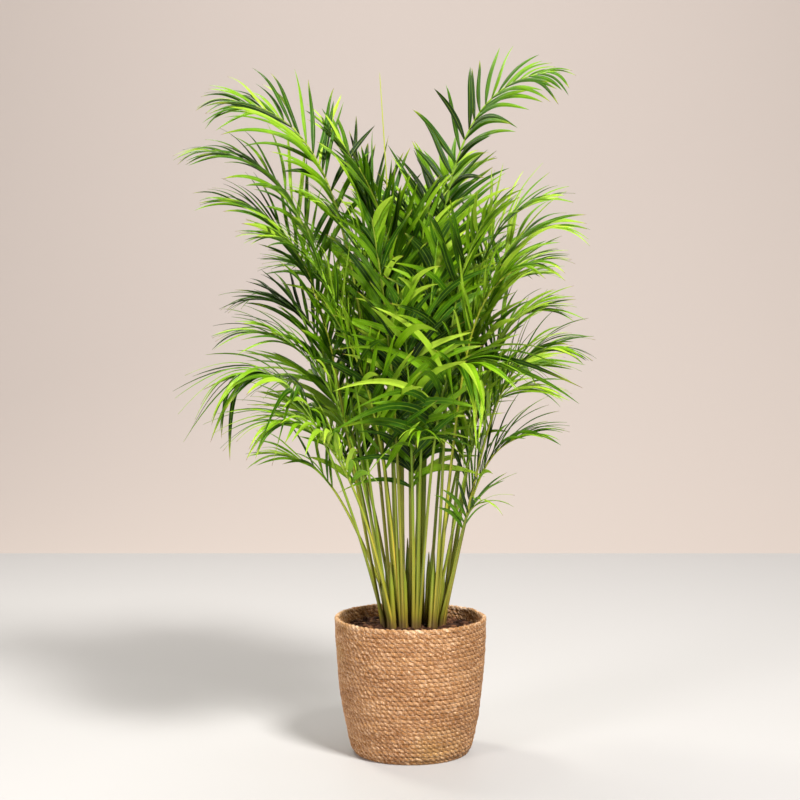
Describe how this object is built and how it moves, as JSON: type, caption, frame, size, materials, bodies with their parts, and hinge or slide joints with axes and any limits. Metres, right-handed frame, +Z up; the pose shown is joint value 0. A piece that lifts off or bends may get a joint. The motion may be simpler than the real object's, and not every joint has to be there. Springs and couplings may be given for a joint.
{
  "type": "potted palm",
  "caption": "Bushy potted palm: thin canes with arching feathery fronds in soil, in a round, slightly tapered basket of coiled grass rope.",
  "frame": {"origin": "centre of the basket's flat underside, on the floor it stands on", "axes": "+Z up along the basket's axis, +X to the plant's right as seen from its front, -Y toward its front"},
  "size_m": [0.7597, 0.6949, 1.2939],
  "materials": {
    "basket": "matte",
    "soil": "matte",
    "cane": "satin",
    "leaf": "satin"
  },
  "bodies": {
    "root": {"basket": "basket", "frond_01": "leaf", "frond_02": "leaf", "frond_03": "leaf", "frond_04": "leaf", "frond_05": "leaf", "frond_06": "leaf", "frond_07": "leaf", "frond_08": "leaf", "frond_09": "leaf", "frond_10": "leaf", "frond_11": "leaf", "frond_12": "leaf", "frond_13": "leaf", "frond_14": "leaf", "frond_15": "leaf", "frond_16": "leaf", "frond_17": "leaf", "frond_18": "leaf", "frond_19": "leaf", "frond_20": "leaf", "frond_21": "leaf", "frond_22": "leaf", "frond_23": "leaf", "frond_24": "leaf", "frond_25": "leaf", "frond_26": "leaf", "frond_27": "leaf", "frond_28": "leaf", "frond_29": "leaf", "frond_30": "leaf", "frond_31": "leaf", "frond_32": "leaf", "frond_33": "leaf", "frond_34": "leaf", "frond_35": "leaf", "frond_36": "leaf", "frond_37": "leaf", "frond_38": "leaf", "frond_39": "leaf", "frond_40": "leaf", "frond_41": "leaf", "soil": "soil", "spear_leaf": "leaf", "stem_01": "cane", "stem_02": "cane", "stem_03": "cane", "stem_04": "cane", "stem_05": "cane", "stem_06": "cane", "stem_07": "cane", "stem_08": "cane", "stem_09": "cane", "stem_10": "cane", "stem_11": "cane", "stem_12": "cane", "stem_13": "cane", "stem_14": "cane", "stem_15": "cane", "stem_16": "cane"}
  },
  "joints": []
}
